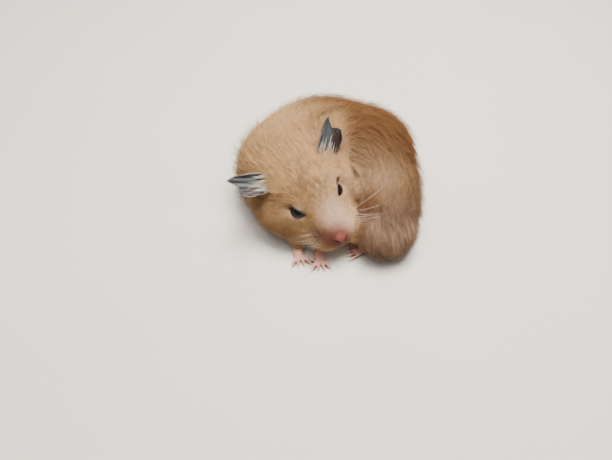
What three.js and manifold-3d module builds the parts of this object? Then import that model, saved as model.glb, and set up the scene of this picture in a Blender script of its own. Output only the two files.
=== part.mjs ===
// A Syrian hamster, life size, curled to its own left with its chin over its forepaws.
// Millimetres, +Z up, floor at z = 0.  Every solid reaches out to the tips of the coat.
//
// The body is one smooth blend of named ellipsoids ("lobes").  Each sub-part is a ball of
// triangles pushed out, from a centre inside that sub-part, to the blended surface.  Neck
// and trunk are then parted like slices of a cake, round the upright line that the animal
// is curled about, and every cut leaves a thin gap.
import * as THREE from 'three';
import * as BufferGeometryUtils from 'three/addons/utils/BufferGeometryUtils.js';
import Module from 'manifold-3d';

const wasm = await Module();
wasm.setup();

// ---------------------------------------------------------------- driving dimensions
const GAP = 0.3;                   // between any two neighbouring solids
const BODY_BLEND = 3;              // how softly one lobe of the trunk runs into the next
const HEAD_BLEND = 1.9;            // the same on the head
const CREASE_BLEND = 1.2;          // head to flank and thigh to flank, where the coat folds

// The point midway between the eyes, and how the head is turned about it, in degrees.
const HEAD_AT = [-4.6, -7.3, 21];
const HEAD_YAW = -56;              // from +X: the nose points to the right and the front
const HEAD_PITCH = 8.5;            // nose down
const HEAD_ROLL = 3;               // left side up

// The body is curled about an upright line.  Neck, chest and loins are parted along straight
// cuts out from it, at these angles in degrees from +X, and the head is parted from the
// flank along the bottom of the crease between them.
const CURL_CENTRE = [1, 20];
const HEAD_FROM_NECK = -150;
const NECK_FROM_CHEST = -170;
const CHEST_FROM_LOINS = 80;
const CREASE = [[1.5, 8.5], [6.8, 3], [11.2, -3.5], [10.8, -12], [9.8, -24]];

// The planes that part the thighs from the loins, with their normals out into the leg.
const LEFT_THIGH = { point: [22, -6.5, 12], normal: [-0.12, -0.93, -0.34] };
const RIGHT_THIGH = { point: [31.5, 3, 10], normal: [0.9, 0, -0.42] };

// Eyes, in the head's frame and for the left side: the ball, and the opening between the lids
// that lets it show through the coat.
const EYE_RADIUS = 3.5;
const EYE_CENTRE = [-0.2, 8.7, -0.3];
const LIDS_CENTRE = [0.6, 11.4, 1.9];
const LIDS_SIZE = [3.8, 3, 2.9];        // half-lengths

// Ears, in the head's frame: the root, the way the ear points and the way its hollow faces.
const EAR_THICKNESS = 1;
const EAR_CURL = 6.5;                   // radius of the ear's hollow, across it
const RIGHT_EAR = { root: [-15.5, -17, 5.5], along: [-0.3, -0.92, 0.22], opening: [0.35, 0.15, 0.92] };
const LEFT_EAR = { root: [-14, 13.8, 8.5], along: [-0.46, 0.52, 0.74], opening: [0.5, -0.1, 0.85] };

// Paws lie on the floor with their heel at `heel`, heading `heading` degrees from +X, and
// `toes` are the angles of the toes to that.  Each leg shows from `above` down to `ankle`.
const TOE_RADIUS = 0.95;
const PALM_HEIGHT = 3.7;
const FOREPAW = { length: 9.5, width: 5.6, toes: [-26, -9, 9, 26], toeLength: 4 };
const HINDPAW = { length: 16, width: 5.6, toes: [-24, -11, 0, 11, 24], toeLength: 5 };
const RIGHT_FORELEG = {
  above: [-19, -3, 9], ankle: [-13, -16.5, 4], radius: 3.6,
  paw: { ...FOREPAW, heel: [-13, -17.5], heading: -78 },
};
const LEFT_FORELEG = {
  above: [-3, -3, 9], ankle: [-4, -18.5, 4], radius: 3.4,
  paw: { ...FOREPAW, heel: [-4, -19.5], heading: -82 },
};
const LEFT_HINDLEG = {
  above: [26, -15, 6], ankle: [23.5, -17.5, 2.6], radius: 2.8,
  paw: { ...HINDPAW, heel: [24.5, -17.5], heading: 187 },
};
const RIGHT_HINDLEG = {
  above: [32, -6, 6], ankle: [36, -8, 2.6], radius: 2.8,
  paw: { ...HINDPAW, heel: [36.5, -9], heading: 88 },
};

// The tail is a stub, with a furry root.
const TAIL_RADIUS = 1.4;
const TAIL_ROOT = [32.5, -12, 5.5];
const TAIL_ROOT_SIZE = [6, 3, 3];       // half-lengths
const TAIL_TIP = [42.5, -14, 2.2];

const FUR_ROUGHNESS = 0.85;
const SKIN_ROUGHNESS = 0.5;
const EYE_ROUGHNESS = 0.08;
const APRICOT = 0xd9a066;
const PALE_APRICOT = 0xe3b684;
const PINK_SKIN = 0xd9a091;
const EAR_GREY = 0x5b5054;
const EYE_BLACK = 0x120c0b;

// ---------------------------------------------------------------- frames
const radians = THREE.MathUtils.degToRad;

const headTurn = new THREE.Euler(radians(HEAD_ROLL), radians(HEAD_PITCH), radians(HEAD_YAW), 'ZYX');
const HEAD = new THREE.Matrix4().makeRotationFromEuler(headTurn).setPosition(...HEAD_AT);
const BODY = new THREE.Matrix4();   // the head's frame has x to the nose, y left and z up

const inFrame = (frame, at) => new THREE.Vector3(...at).applyMatrix4(frame);

// ---------------------------------------------------------------- lobes
// at = centre, size = half-lengths along the lobe's own x, y and z, yaw = turn about z.
function lobe(frame, at, size, yaw = 0) {
  const place = new THREE.Matrix4().makeRotationZ(radians(yaw)).setPosition(...at).premultiply(frame);
  return { size, toOwnFrame: place.invert() };
}

const headLobes = [
  lobe(HEAD, [-12, 0, -3], [16, 15.5, 12.5]),          // skull
  lobe(HEAD, [-9, -11.5, -9], [15, 11.5, 10], 12),     // right cheek and pouch
  lobe(HEAD, [-9, 11, -8.5], [14.5, 11, 9.5], -12),    // left cheek and pouch
  lobe(HEAD, [2.5, 12, -8], [8.5, 7, 7.2]),            // left cheek, pressed forward by the flank
  lobe(HEAD, [2.5, -7.5, -11], [9.5, 6.5, 5.5], 24),   // right jowl
  lobe(HEAD, [2.5, 7.5, -11], [9.5, 6.5, 5.5], -24),   // left jowl
  lobe(HEAD, [-2.5, -4.2, -1.2], [8, 5.4, 6.2]),       // right brow
  lobe(HEAD, [-2.5, 4.2, -1.2], [8, 5.4, 6.2]),        // left brow
  lobe(HEAD, [6, 0, -3.8], [12, 6.2, 5.4]),            // bridge of the nose
  lobe(HEAD, [15.6, 0, -5], [3, 2.8, 2.4]),            // nose
  lobe(HEAD, [10.8, -5, -8.4], [7.2, 6, 5.4], -8),     // right whisker pad
  lobe(HEAD, [10.8, 5, -8.4], [7.2, 6, 5.4], 8),       // left whisker pad
  lobe(HEAD, [6.5, 0, -11.5], [8.5, 7, 4]),            // chin
  lobe(HEAD, [-8, 0, -12.5], [13, 12, 6]),             // throat
];

const trunkLobes = [
  lobe(BODY, [-17, 11, 21.5], [14.5, 13, 13]),         // nape
  lobe(BODY, [-23, 11, 17], [16, 18, 15.5]),           // shoulders
  lobe(BODY, [-16, 21, 19], [15, 14.5, 17]),           // right side of the chest
  lobe(BODY, [-2, 28, 19.5], [23.5, 16.5, 21]),         // middle of the back
  lobe(BODY, [18, 20, 20], [19.5, 19, 19.5]),          // loins
  lobe(BODY, [27, 2, 16.5], [12.5, 17, 15]),           // rump
  lobe(BODY, [13, 9, 17], [8.5, 10, 10]),              // left shoulder
  lobe(BODY, [0, 9, 9], [23, 19, 9.5]),                // belly
];

const thighLobes = [
  lobe(BODY, [23.5, -14.5, 10.5], [14, 12.5, 12]),       // left thigh
  lobe(BODY, [30, 4, 11], [9.5, 15, 11.5]),            // right thigh
];

// ---------------------------------------------------------------- the blended surface
const local = new THREE.Vector3();

// Distance to one ellipsoid, close to true near its surface and negative inside it.
function lobeDistance({ size, toOwnFrame }, point) {
  local.copy(point).applyMatrix4(toOwnFrame);
  const [a, b, c] = size;
  const reach = Math.hypot(local.x / a, local.y / b, local.z / c);
  const slope = Math.hypot(local.x / (a * a), local.y / (b * b), local.z / (c * c));
  return slope === 0 ? -Math.min(a, b, c) : reach * (reach - 1) / slope;
}

function softest(distances, softness) {
  const sum = distances.reduce((total, each) => total + Math.exp(-each / softness), 0);
  return -softness * Math.log(sum);
}

const blend = (lobes, point, softness) =>
  softest(lobes.map((each) => lobeDistance(each, point)), softness);

const bodyDistance = (point) => softest([
  blend(headLobes, point, HEAD_BLEND),
  blend(trunkLobes, point, BODY_BLEND),
  blend(thighLobes, point, CREASE_BLEND),
], CREASE_BLEND);

// ---------------------------------------------------------------- solids
function mergedVertices(geometry) {
  const bare = geometry.clone();
  bare.deleteAttribute('normal');
  bare.deleteAttribute('uv');
  return BufferGeometryUtils.mergeVertices(bare, 1e-4);
}

function solid(geometry) {
  const merged = mergedVertices(geometry);
  return new wasm.Manifold(new wasm.Mesh({
    numProp: 3,
    vertProperties: merged.attributes.position.array,
    triVerts: new Uint32Array(merged.index.array),
  }));
}

// A ball of triangles about `centre`, pushed out until `distance` reaches zero.
function pushedOut(centre, detail, distance) {
  const FURTHEST = 90;
  const HALVINGS = 14;
  const ball = mergedVertices(new THREE.IcosahedronGeometry(1, detail));
  const positions = ball.attributes.position;
  const direction = new THREE.Vector3();
  const point = new THREE.Vector3();
  const at = (reach) => point.copy(centre).addScaledVector(direction, reach);
  for (let i = 0; i < positions.count; i += 1) {
    direction.fromBufferAttribute(positions, i).normalize();
    let outside = 1;
    while (outside < FURTHEST && distance(at(outside)) < 0) outside += 1;
    let inside = outside - 1;
    for (let n = 0; n < HALVINGS; n += 1) {
      const middle = (inside + outside) / 2;
      if (distance(at(middle)) < 0) inside = middle; else outside = middle;
    }
    at(inside);
    positions.setXYZ(i, point.x, point.y, point.z);
  }
  return solid(ball);
}

const bodySolid = (centre, detail) => pushedOut(new THREE.Vector3(...centre), detail, bodyDistance);

// Upright sectors of the space round the curl centre, and the thin cuts between them.
const FAR = 90;
const HEIGHT = 80;
const farPoint = (angle) => [
  CURL_CENTRE[0] + FAR * Math.cos(radians(angle)),
  CURL_CENTRE[1] + FAR * Math.sin(radians(angle)),
];
const CREASE_END_ANGLE = -84;
const creaseLine = [CURL_CENTRE, ...CREASE, farPoint(CREASE_END_ANGLE)];
const straightLine = (angle) => [CURL_CENTRE, farPoint(angle)];

// All between two parting lines, going anticlockwise from the first at angle `from`.
function sector(firstLine, from, to, lastLine) {
  const STEP = 30;
  const arc = [];
  for (let angle = from + STEP; angle < to; angle += STEP) arc.push(farPoint(angle));
  const corners = [...firstLine, ...arc, ...lastLine.slice(1).reverse()];
  const outline = new THREE.Shape(corners.map(([x, y]) => new THREE.Vector2(x, y)));
  const upright = new THREE.ExtrudeGeometry(outline, { depth: HEIGHT, bevelEnabled: false });
  return solid(upright.translate(0, 0, -HEIGHT / 4));
}

function partingCuts(line) {
  return joined(line.slice(1).map(([x, y], i) => {
    const [fromX, fromY] = line[i];
    const length = Math.hypot(x - fromX, y - fromY);
    const slab = new THREE.BoxGeometry(length + GAP, GAP, HEIGHT);
    slab.translate(length / 2, 0, HEIGHT / 4).rotateZ(Math.atan2(y - fromY, x - fromX));
    return solid(slab.translate(fromX, fromY, 0));
  }));
}

// All that lies beyond a plane, on the side its normal points to, moved along it by `shift`.
function beyond({ point, normal }, shift = 0) {
  const out = new THREE.Vector3(...normal).normalize();
  const turn = new THREE.Quaternion().setFromUnitVectors(new THREE.Vector3(0, 0, 1), out);
  const block = new THREE.BoxGeometry(2 * FAR, 2 * FAR, FAR);
  block.translate(0, 0, FAR / 2 + shift).applyQuaternion(turn);
  return solid(block.translate(...point));
}

// A thin cupped leaf of skin: rings shrink from the outline to its middle on both faces.
// `place` may mirror it, and then its triangles are turned the other way round.
function leafOfSkin(outline, thickness, curl, place, grow) {
  const AROUND = 22;
  const RINGS = 4;
  const FLATNESS = 0.5;               // under 1: flat faces with a round rim
  const rim = outline.getPoints(AROUND).slice(0, AROUND);
  const middle = rim.reduce((sum, p) => sum.add(p), new THREE.Vector3()).divideScalar(AROUND);
  for (const point of rim) point.addScaledVector(point.clone().sub(middle).normalize(), grow);
  const halfThickness = thickness / 2 + grow;
  const positions = [];
  const addPoint = (flat, height) => {
    const angle = flat.x / curl;
    const radius = curl - height;
    positions.push(...inFrame(place, [radius * Math.sin(angle), flat.y, curl - radius * Math.cos(angle)]));
  };
  for (let ring = 0; ring < RINGS; ring += 1) {
    const around = Math.PI * (ring + 0.5) / RINGS;
    const rise = Math.cos(around);
    const height = Math.sign(rise) * Math.abs(rise) ** FLATNESS * halfThickness;
    for (const point of rim) addPoint(middle.clone().lerp(point, Math.sin(around) ** FLATNESS), height);
  }
  addPoint(middle, halfThickness);
  addPoint(middle, -halfThickness);
  const [frontPole, backPole] = [RINGS * AROUND, RINGS * AROUND + 1];
  const lastRing = (RINGS - 1) * AROUND;
  const triangles = [];
  for (let i = 0; i < AROUND; i += 1) {
    const next = (i + 1) % AROUND;
    triangles.push([frontPole, next, i], [backPole, lastRing + i, lastRing + next]);
    for (let a = 0; a < lastRing; a += AROUND) {
      const b = a + AROUND;
      triangles.push([a + i, b + next, b + i], [a + i, a + next, b + next]);
    }
  }
  const mirrored = place.determinant() < 0;
  const geometry = new THREE.BufferGeometry();
  geometry.setAttribute('position', new THREE.Float32BufferAttribute(positions, 3));
  geometry.setIndex(triangles.flatMap(([a, b, c]) => (mirrored ? [a, c, b] : [a, b, c])));
  return geometry;
}

const joined = (solids) => solids.reduce((whole, each) => whole.add(each));

function ellipsoid(frame, at, size, grow = 0, detail = 3) {
  const ball = new THREE.IcosahedronGeometry(1, detail);
  ball.scale(...size.map((half) => half + grow)).translate(...at);
  return solid(ball.applyMatrix4(frame));
}

// A rounded rod from one point to another.
function rod(from, to, radius, grow = 0, sides = 6) {
  const start = new THREE.Vector3(...from);
  const along = new THREE.Vector3(...to).sub(start);
  const capsule = new THREE.CapsuleGeometry(radius + grow, along.length(), sides / 4, sides);
  const turn = new THREE.Quaternion().setFromUnitVectors(
    new THREE.Vector3(0, 1, 0), along.clone().normalize());
  capsule.applyQuaternion(turn);
  return solid(capsule.translate(...start.addScaledVector(along, 0.5)));
}

// ---------------------------------------------------------------- legs and tail
function paw({ heel, heading, length, width, toes, toeLength }, grow) {
  const frame = new THREE.Matrix4().makeRotationZ(radians(heading)).setPosition(...heel, 0);
  const middle = (length - toeLength) / 2;
  const palmSize = [middle + TOE_RADIUS, width / 2, PALM_HEIGHT / 2];
  const palm = ellipsoid(frame, [middle, 0, PALM_HEIGHT / 2 - GAP], palmSize, grow, 1);
  const knuckles = width - 2 * TOE_RADIUS;
  const rods = toes.map((angle, i) => {
    const side = (i / (toes.length - 1) - 0.5) * knuckles;
    const reach = length - toeLength * (1 - Math.cos(radians(angle))) - TOE_RADIUS;
    const root = inFrame(frame, [length - toeLength, side, 1.5 * TOE_RADIUS]);
    const tip = inFrame(frame, [reach, side + toeLength * Math.sin(radians(angle)), TOE_RADIUS - GAP / 2]);
    return rod(root.toArray(), tip.toArray(), TOE_RADIUS, grow);
  });
  return joined([palm, ...rods]);
}

const LEG_SIDES = 8;
const leg = ({ above, ankle, radius, paw: itsPaw }, grow = 0) =>
  joined([rod(above, ankle, radius, grow, LEG_SIDES), paw(itsPaw, grow)]);

const tail = (grow = 0) => joined([
  rod(TAIL_ROOT, TAIL_TIP, TAIL_RADIUS, grow, LEG_SIDES),
  ellipsoid(BODY, TAIL_ROOT, TAIL_ROOT_SIZE, grow, 1),
]);

// ---------------------------------------------------------------- ears
// The ear's outline laid flat: x from its rear edge to its front edge, y from the root.
// It ends in a rear tip and a lower, rounder front lobe, with a notch where it folds.
const earOutline = new THREE.CatmullRomCurve3([
  [0, -5], [-4.2, -2.5], [-5.8, 3], [-5.4, 8.5], [-3.6, 13.8], [-1.4, 11.2],
  [0.4, 9.6], [3, 10.6], [5.8, 8.2], [6.2, 3.4], [4.2, -2.5],
].map(([x, y]) => new THREE.Vector3(x, y, 0)), true);

const MIRRORED = -1;
function earPlace({ root, along, opening }, side = 1) {
  const y = new THREE.Vector3(...along).normalize();
  const facing = new THREE.Vector3(...opening);
  const z = facing.addScaledVector(y, -y.dot(facing)).normalize();
  const x = new THREE.Vector3().crossVectors(y, z).multiplyScalar(side);
  return new THREE.Matrix4().makeBasis(x, y, z).setPosition(...root).premultiply(HEAD);
}

const ear = (place, grow = 0) =>
  solid(leafOfSkin(earOutline, EAR_THICKNESS, EAR_CURL, place, grow));
const rightEar = earPlace(RIGHT_EAR, MIRRORED);
const leftEar = earPlace(LEFT_EAR);

// ---------------------------------------------------------------- eyes
const onSide = ([x, y, z], side) => [x, side * y, z];
const eyeball = (side, grow = 0) =>
  ellipsoid(HEAD, onSide(EYE_CENTRE, side), [EYE_RADIUS, EYE_RADIUS, EYE_RADIUS], grow, 2);
const lidOpening = (side) => ellipsoid(HEAD, onSide(LIDS_CENTRE, side), LIDS_SIZE);

// ---------------------------------------------------------------- assembly
const carved = (shape, tools) => tools.reduce((rest, tool) => rest.subtract(tool), shape);

const ground = solid(new THREE.BoxGeometry(4 * FAR, 4 * FAR, FAR).translate(0, 0, -FAR / 2));
const neckLine = straightLine(HEAD_FROM_NECK);
const chestLine = straightLine(NECK_FROM_CHEST);
const loinsLine = straightLine(CHEST_FROM_LOINS);
const cuts = joined([creaseLine, neckLine, chestLine, loinsLine].map(partingCuts));
const headSector = sector(neckLine, HEAD_FROM_NECK, CREASE_END_ANGLE, creaseLine);
const neckSector = sector(chestLine, NECK_FROM_CHEST, HEAD_FROM_NECK, neckLine);
const chestSector = sector(loinsLine, CHEST_FROM_LOINS, NECK_FROM_CHEST + 360, chestLine);
const loinsSector = sector(creaseLine, CREASE_END_ANGLE, CHEST_FROM_LOINS, loinsLine);

const LEFT = 1;
const RIGHT = -1;
const legs = {
  foreleg_right: RIGHT_FORELEG,
  foreleg_left: LEFT_FORELEG,
  hindleg_left: LEFT_HINDLEG,
  hindleg_right: RIGHT_HINDLEG,
};
const roomForLimbs = [...Object.values(legs).map((each) => leg(each, GAP)), tail(GAP)];
const roomForEars = [ear(rightEar, GAP), ear(leftEar, GAP)];
const eyeHollows = [LEFT, RIGHT].flatMap((side) => [eyeball(side, GAP), lidOpening(side)]);

const slice = (centre, detail, region, tools) =>
  carved(bodySolid(centre, detail).intersect(region), [cuts, ground, ...tools]);
const room = [...roomForLimbs, ...roomForEars, ...eyeHollows];
const roomForThighs = [beyond(LEFT_THIGH, -GAP), beyond(RIGHT_THIGH, -GAP)];

// A hindleg is its foot and the thigh above it, which the other limbs and the tail cut.
function hindleg(name, thigh, otherTools) {
  const foot = carved(leg(legs[name]), [ground, tail(GAP)]);
  const others = roomForLimbs.filter((_, i) => Object.keys(legs)[i] !== name);
  return carved(thigh, [cuts, ground, ...others, ...otherTools]).add(foot);
}
const leftThigh = bodySolid([23, -14, 10], 4).intersect(loinsSector).intersect(beyond(LEFT_THIGH));
const rightThigh = bodySolid([28, 4, 11], 4).intersect(loinsSector).intersect(beyond(RIGHT_THIGH));

const shapes = {
  head: slice([-5, -4, 15], 10, headSector, room),
  neck: slice([-15, 12, 16], 7, neckSector, room),
  trunk_chest: slice([-9, 24, 17], 7, chestSector, room),
  trunk_loins: slice([20, 12, 16], 8, loinsSector, [...room, ...roomForThighs]),
  tail: carved(tail(), [ground]),
  foreleg_right: carved(leg(RIGHT_FORELEG), [ground]),
  foreleg_left: carved(leg(LEFT_FORELEG), [ground]),
  hindleg_left: hindleg('hindleg_left', leftThigh, []),
  hindleg_right: hindleg('hindleg_right', rightThigh, roomForThighs.slice(0, 1)),
  ear_right: ear(rightEar),
  ear_left: ear(leftEar),
  eye_right: eyeball(RIGHT),
  eye_left: eyeball(LEFT),
};
const finishes = {
  head: [PALE_APRICOT, FUR_ROUGHNESS],
  neck: [PALE_APRICOT, FUR_ROUGHNESS],
  tail: [PINK_SKIN, SKIN_ROUGHNESS],
  foreleg_right: [PINK_SKIN, SKIN_ROUGHNESS],
  foreleg_left: [PINK_SKIN, SKIN_ROUGHNESS],
  ear_right: [EAR_GREY, SKIN_ROUGHNESS],
  ear_left: [EAR_GREY, SKIN_ROUGHNESS],
  eye_right: [EYE_BLACK, EYE_ROUGHNESS],
  eye_left: [EYE_BLACK, EYE_ROUGHNESS],
};

const hamster = new THREE.Group();
for (const [name, shape] of Object.entries(shapes)) {
  const { vertProperties, triVerts } = shape.getMesh();
  const geometry = new THREE.BufferGeometry();
  geometry.setAttribute('position', new THREE.BufferAttribute(vertProperties, 3));
  geometry.setIndex(new THREE.BufferAttribute(triVerts, 1));
  const [color, roughness] = finishes[name] ?? [APRICOT, FUR_ROUGHNESS];
  const part = new THREE.Mesh(geometry, new THREE.MeshStandardMaterial({ color, roughness }));
  part.name = name;
  hamster.add(part);
}

// The origin is the middle of the footprint of the whole, at floor level.
const middle = new THREE.Box3().setFromObject(hamster).getCenter(new THREE.Vector3());
hamster.position.set(-middle.x, -middle.y, 0);

export default hamster;
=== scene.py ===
# A Syrian hamster, life size, curled to its left with its chin over its forepaws.
# Metres, +Z up, on a floor at z = 0.  The sections follow the animal as a model maker
# would build it: hide, eyes, nose, paws, ears and markings, then the coat of solid tufts,
# the long hair of the ears, and the whiskers last.
import math

import bpy
import numpy as np
from mathutils import Euler, Matrix, Vector
from mathutils.bvhtree import BVHTree
from mathutils.kdtree import KDTree


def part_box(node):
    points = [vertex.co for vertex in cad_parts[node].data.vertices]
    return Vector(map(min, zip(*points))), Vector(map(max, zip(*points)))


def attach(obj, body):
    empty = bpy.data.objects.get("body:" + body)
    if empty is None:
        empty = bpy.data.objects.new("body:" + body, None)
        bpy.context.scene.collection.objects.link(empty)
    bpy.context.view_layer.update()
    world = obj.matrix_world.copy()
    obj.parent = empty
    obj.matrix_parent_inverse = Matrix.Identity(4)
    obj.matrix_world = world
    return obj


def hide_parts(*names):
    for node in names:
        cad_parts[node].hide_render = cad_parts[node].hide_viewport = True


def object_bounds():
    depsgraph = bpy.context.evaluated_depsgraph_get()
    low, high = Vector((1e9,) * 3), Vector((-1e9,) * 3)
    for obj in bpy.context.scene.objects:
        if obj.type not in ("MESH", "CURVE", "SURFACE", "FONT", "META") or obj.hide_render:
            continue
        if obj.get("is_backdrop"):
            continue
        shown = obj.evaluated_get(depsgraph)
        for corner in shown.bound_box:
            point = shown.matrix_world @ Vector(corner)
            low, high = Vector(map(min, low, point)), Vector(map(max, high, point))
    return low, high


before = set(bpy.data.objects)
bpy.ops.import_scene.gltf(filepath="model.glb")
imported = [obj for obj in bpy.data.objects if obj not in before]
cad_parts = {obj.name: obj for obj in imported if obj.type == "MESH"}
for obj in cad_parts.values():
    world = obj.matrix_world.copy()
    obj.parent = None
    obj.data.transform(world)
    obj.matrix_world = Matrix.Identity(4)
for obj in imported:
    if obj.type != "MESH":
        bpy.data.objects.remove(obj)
cad_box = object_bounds()

# ---------------------------------------------------------------- the view
# Someone's eye an arm's length above, leaning over the animal from the front.
MM = 0.001
bpy.ops.object.select_all(action="DESELECT")
VIEW_FROM = Vector((-11.07, -139.98, 189.2)) * MM
VIEW_DOWN = 56.7         # degrees below the horizon, looking along +Y
bpy.ops.object.camera_add(location=VIEW_FROM, rotation=(math.radians(90 - VIEW_DOWN), 0, 0))
camera = bpy.context.object
camera.data.lens = 30
camera.data.sensor_width = 36
camera.data.clip_start = 0.01
bpy.context.scene.camera = camera


# ---------------------------------------------------------------- floor and light
# A pale matt table top under soft lamps: the broad one hangs over the back, a little to
# the right, so that flank and forehead are brightest and the right cheek lies in half shade.
def linear(sheer):
    """An sRGB hex colour such as "#c08050" as linear red, green and blue."""
    parts = [int(sheer[i:i + 2], 16) / 255 for i in (1, 3, 5)]
    return np.array([c / 12.92 if c <= 0.04045 else ((c + 0.055) / 1.055) ** 2.4 for c in parts])


def add_node(tree, kind, inputs=(), **settings):
    """Adds a node with its settings; inputs maps a socket to a value or to the socket it reads."""
    new = tree.nodes.new(kind)
    for setting, value in settings.items():
        setattr(new, setting, value)
    for socket, value in dict(inputs).items():
        if isinstance(value, bpy.types.NodeSocket):
            tree.links.new(value, new.inputs[socket])
        else:
            new.inputs[socket].default_value = value
    return new


def new_material(name):
    """An empty node material and its output node."""
    material = bpy.data.materials.new(name)
    material.use_nodes = True
    material.node_tree.nodes.clear()
    return material, material.node_tree, add_node(material.node_tree, "ShaderNodeOutputMaterial")


def mottled(name, dark, light, scale, finish, over="Object"):
    """A material whose colour drifts between two tones, `scale` times a metre."""
    material, tree, output = new_material(name)
    place = add_node(tree, "ShaderNodeTexCoord")
    drift = add_node(tree, "ShaderNodeTexNoise", {"Vector": place.outputs[over], "Scale": scale})
    tint = add_node(tree, "ShaderNodeMixRGB", {
        "Fac": drift.outputs["Fac"], "Color1": (*linear(dark), 1), "Color2": (*linear(light), 1)})
    surface = add_node(tree, "ShaderNodeBsdfPrincipled", {"Base Color": tint.outputs["Color"], **finish})
    tree.links.new(surface.outputs["BSDF"], output.inputs["Surface"])
    return material


bpy.ops.mesh.primitive_plane_add(size=3, location=(0, 0, 0))
floor = bpy.context.object
floor.name = "floor"
# Matt paint, which scatters the lamps' light into a soft shadow with no highlight.
floor.data.materials.append(mottled("matt_pale_table_top", "#d9d6d1", "#dedbd6", 60,
                                    {"Roughness": 0.8}, over="Generated"))
floor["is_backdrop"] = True

AIM = Vector((0, 0, 0.02))
LAMPS = {                # place, size in metres, watts, colour
    "window": ((0.06, 0.08, 0.5), 0.26, 7.1, "#fff6ea"),
    "ceiling": ((-0.12, 0.0, 0.8), 0.5, 4.3, "#fffaf4"),
    "room": ((0.35, -0.55, 0.3), 0.5, 0.35, "#f3ece8"),
}
for name, (place, size, watts, colour) in LAMPS.items():
    bpy.ops.object.light_add(type="AREA", location=place)
    lamp = bpy.context.object
    lamp.name = name
    lamp.data.size = size
    lamp.data.energy = watts
    lamp.data.color = linear(colour)
    lamp.rotation_euler = (AIM - Vector(place)).to_track_quat("-Z", "Y").to_euler()
world = bpy.data.worlds.new("room_light")
world.use_nodes = True
world.node_tree.nodes["Background"].inputs["Color"].default_value = (*linear("#e8e6e4"), 1)
world.node_tree.nodes["Background"].inputs["Strength"].default_value = 0.3
bpy.context.scene.world = world

# ---------------------------------------------------------------- skin: one closed hide
# The real hide is one piece from nose to toes, so one mesh is cast over all the solids of
# flesh, smoothed, and drawn in by the depth of the coat at each place.  It is bare and
# pink on the nose, lips, paws and tail, and thin and dark on the ears.
FURRED = ("head", "neck", "trunk_chest", "trunk_loins", "tail", "foreleg_right",
          "foreleg_left", "hindleg_left", "hindleg_right")
EARS_OF_SKIN = ("ear_right", "ear_left")
SEAM = 0.25 * MM         # each solid swells by this, which closes the cuts between them
HIDE_GRAIN = 0.54 * MM   # side of the hide's faces


def pick(*objects):
    """Selects just these objects and makes the first the active one."""
    bpy.ops.object.select_all(action="DESELECT")
    for one in objects:
        one.select_set(True)
    bpy.context.view_layer.objects.active = objects[0]


def add_object(name, mesh):
    """A new object in the scene, at the origin."""
    piece = bpy.data.objects.new(name, mesh)
    bpy.context.collection.objects.link(piece)
    return piece


def recast(piece, grain):
    """Casts the active piece anew as one closed mesh of even faces."""
    cast = piece.modifiers.new("cast", "REMESH")
    cast.mode = "VOXEL"
    cast.voxel_size = grain
    bpy.ops.object.modifier_apply(modifier="cast")


def turn_faces_out(piece):
    """Makes every face of a closed mesh look outwards."""
    pick(piece)
    bpy.ops.object.mode_set(mode="EDIT")
    bpy.ops.mesh.select_all(action="SELECT")
    bpy.ops.mesh.normals_make_consistent(inside=False)
    bpy.ops.object.mode_set(mode="OBJECT")


def swollen_copy(node, by):
    """A copy of a CAD node as one closed mesh, grown by a distance."""
    copy = add_object("cast_" + node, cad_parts[node].data.copy())
    pick(copy)
    bpy.ops.object.mode_set(mode="EDIT")
    bpy.ops.mesh.select_all(action="SELECT")
    bpy.ops.mesh.remove_doubles(threshold=0.001 * MM)
    bpy.ops.object.mode_set(mode="OBJECT")
    swell = copy.modifiers.new("swell", "DISPLACE")
    swell.mid_level = 0
    swell.strength = by
    bpy.ops.object.modifier_apply(modifier="swell")
    return copy


EYE_BED = 0.5 * MM       # the eyeball's bed is filled, and the lids are modelled on it later
casts = [swollen_copy(node, SEAM) for node in FURRED]
casts += [swollen_copy(node, EYE_BED) for node in ("eye_left", "eye_right")]
pick(*casts)
bpy.ops.object.join()
skin = bpy.context.object
skin.name = "skin"
skin.data.materials.clear()
recast(skin, HIDE_GRAIN)
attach(skin, "root")
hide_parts(*FURRED, *EARS_OF_SKIN)


def read(collection, name, width=3, kind=np.float64):
    """One property of every vertex, edge or face as an array."""
    values = np.empty(len(collection) * width, kind)
    collection.foreach_get(name, values)
    return values.reshape(-1, width) if width > 1 else values


def move_skin(places):
    """Puts the skin's vertices at these places, in millimetres."""
    skin.data.vertices.foreach_set("co", (places * MM).ravel())
    skin.data.update()


def wiring():
    """The skin's edges, and how many meet at each vertex."""
    edges = read(skin.data.edges, "vertices", 2, np.int32)
    return edges, np.bincount(edges.ravel(), minlength=len(skin.data.vertices))


links, neighbours = wiring()


def spread(values, rounds, hold=0.5):
    """Softens values over the hide: each round mixes a vertex with the mean of its neighbours."""
    values = values.copy()
    columns = values.reshape(len(values), -1)
    for _ in range(rounds):
        for column in columns.T:
            total = np.bincount(links[:, 0], column[links[:, 1]], len(column))
            total += np.bincount(links[:, 1], column[links[:, 0]], len(column))
            column *= hold
            column += (1 - hold) * total / neighbours
    return values


def distance_to(node, points):
    """How far each point, in millimetres, is from the surface of a CAD node."""
    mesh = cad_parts[node].data
    tree = BVHTree.FromPolygons([v.co / MM for v in mesh.vertices],
                                [tuple(p.vertices) for p in mesh.polygons])
    return np.array([tree.find_nearest(p)[3] for p in points])


def ease(t):
    """0 below 0, 1 above 1 and smooth between."""
    t = np.clip(t, 0, 1)
    return t * t * (3 - 2 * t)


def unit(vectors):
    """The same directions with length 1."""
    return vectors / np.maximum(np.linalg.norm(vectors, axis=-1, keepdims=True), 1e-9)


def near(points, centre, sizes):
    """1 at the centre of an ellipsoid, falling smoothly to 0 at its edge."""
    return ease(1 - np.linalg.norm((points - np.array(centre)) / np.array(sizes), axis=1))


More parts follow.
